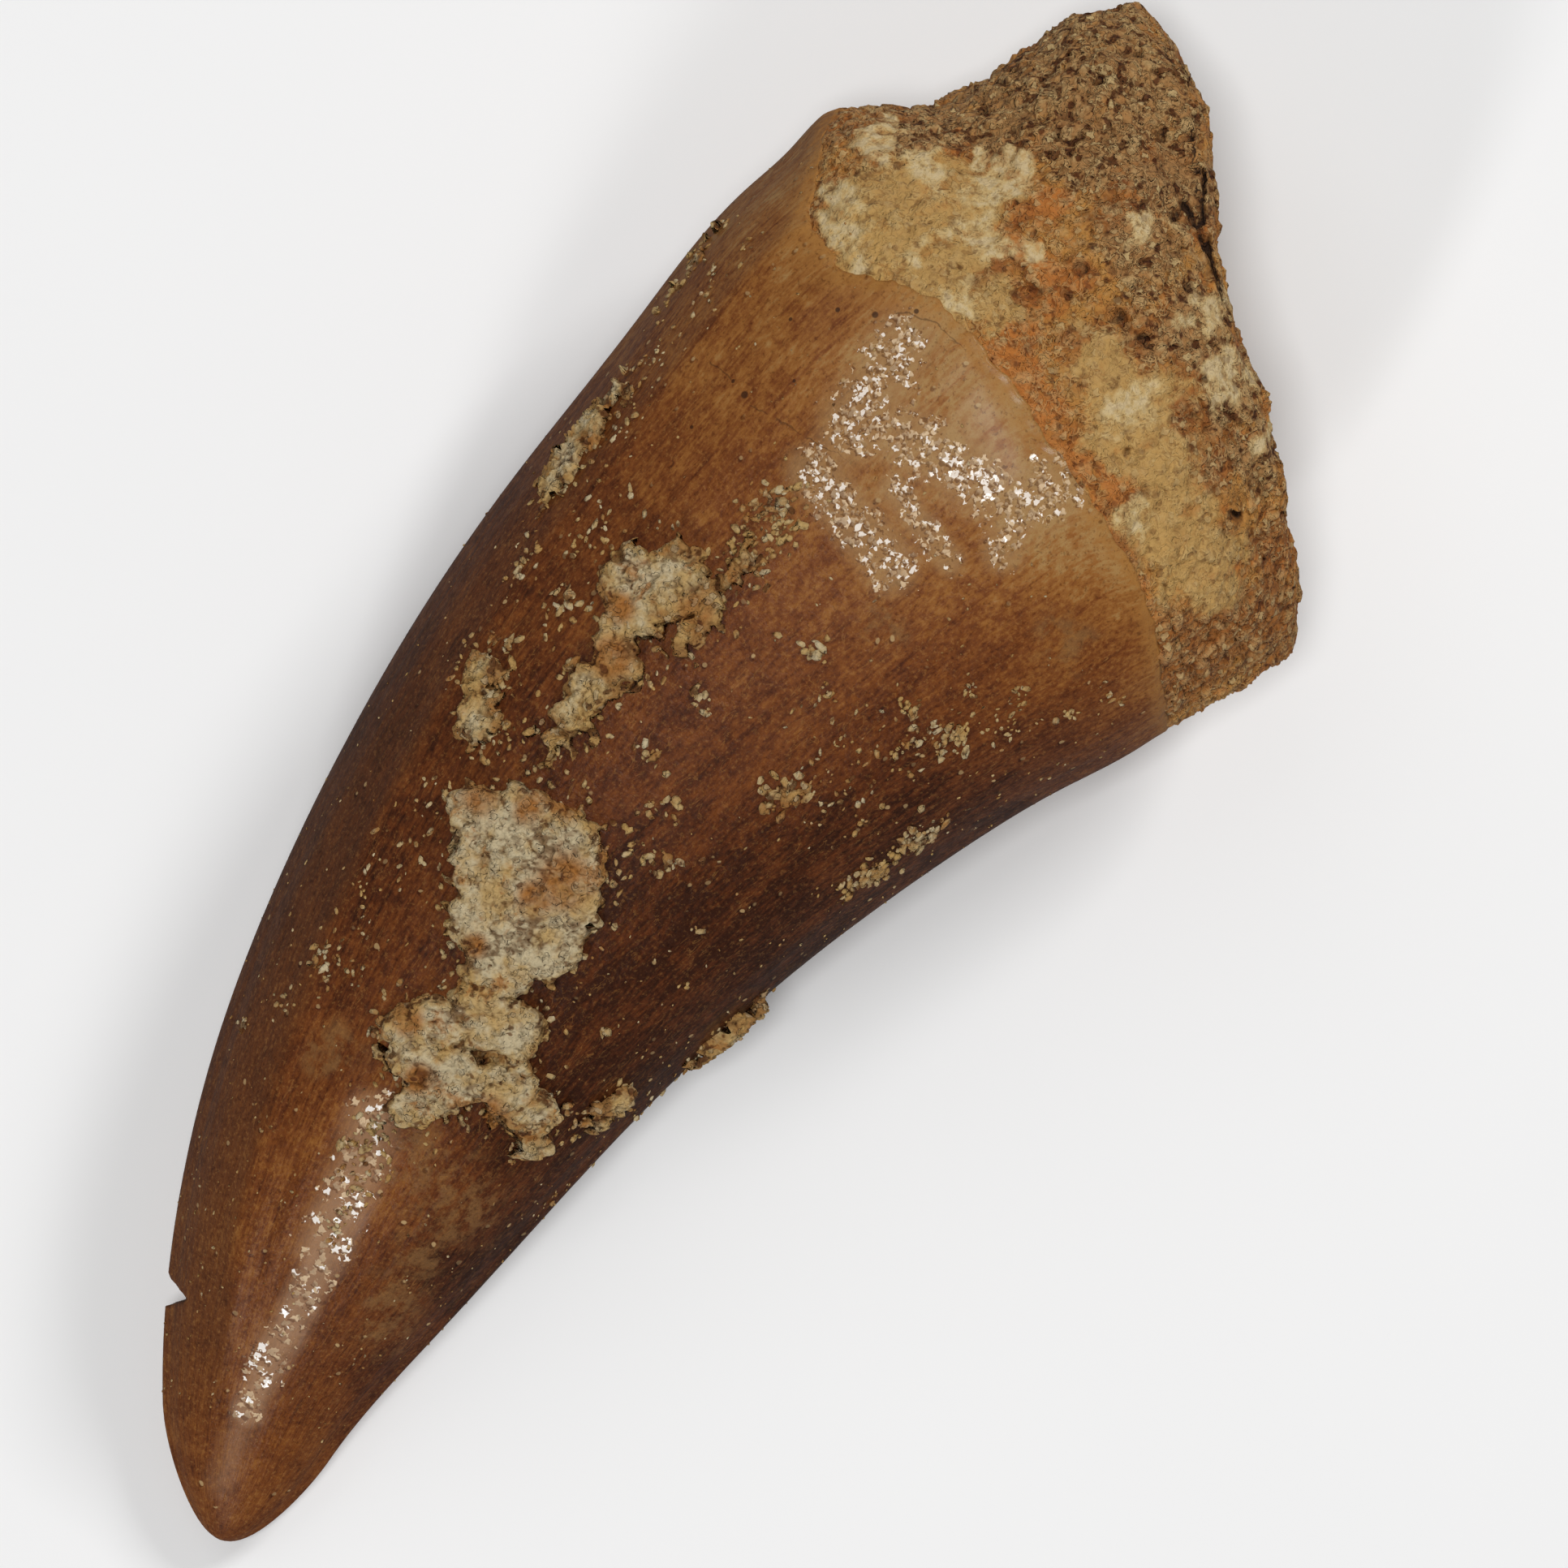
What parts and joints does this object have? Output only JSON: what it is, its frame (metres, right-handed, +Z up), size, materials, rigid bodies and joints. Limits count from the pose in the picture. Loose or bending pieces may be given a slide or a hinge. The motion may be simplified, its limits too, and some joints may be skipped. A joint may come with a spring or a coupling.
{
  "type": "fossil mosasaur tooth",
  "caption": "Curved conical fossil reptile tooth lying on its side: glossy brown enamel crown with sharp keels, broken granular root stub, raised crusts of sandy matrix and a chip near the tip.",
  "frame": {"origin": "under the middle of the tooth's box, on the surface that it lies on", "axes": "+X along the tooth from its tip to its broken root, +Y towards its convex edge, +Z up, out of the face that is seen"},
  "size_m": [0.0579, 0.0232, 0.0172],
  "materials": {
    "fossil_enamel": "glossy caramel to dark brown fossil enamel with fine lengthwise streaks, pale specks and hairline cracks",
    "fossil_root": "dull ochre, rust and grey-buff granular fossil bone",
    "sandy_matrix": "matt cream to buff cemented sand"
  },
  "bodies": {
    "root": {"fossil_tooth": "fossil_enamel"}
  },
  "joints": []
}
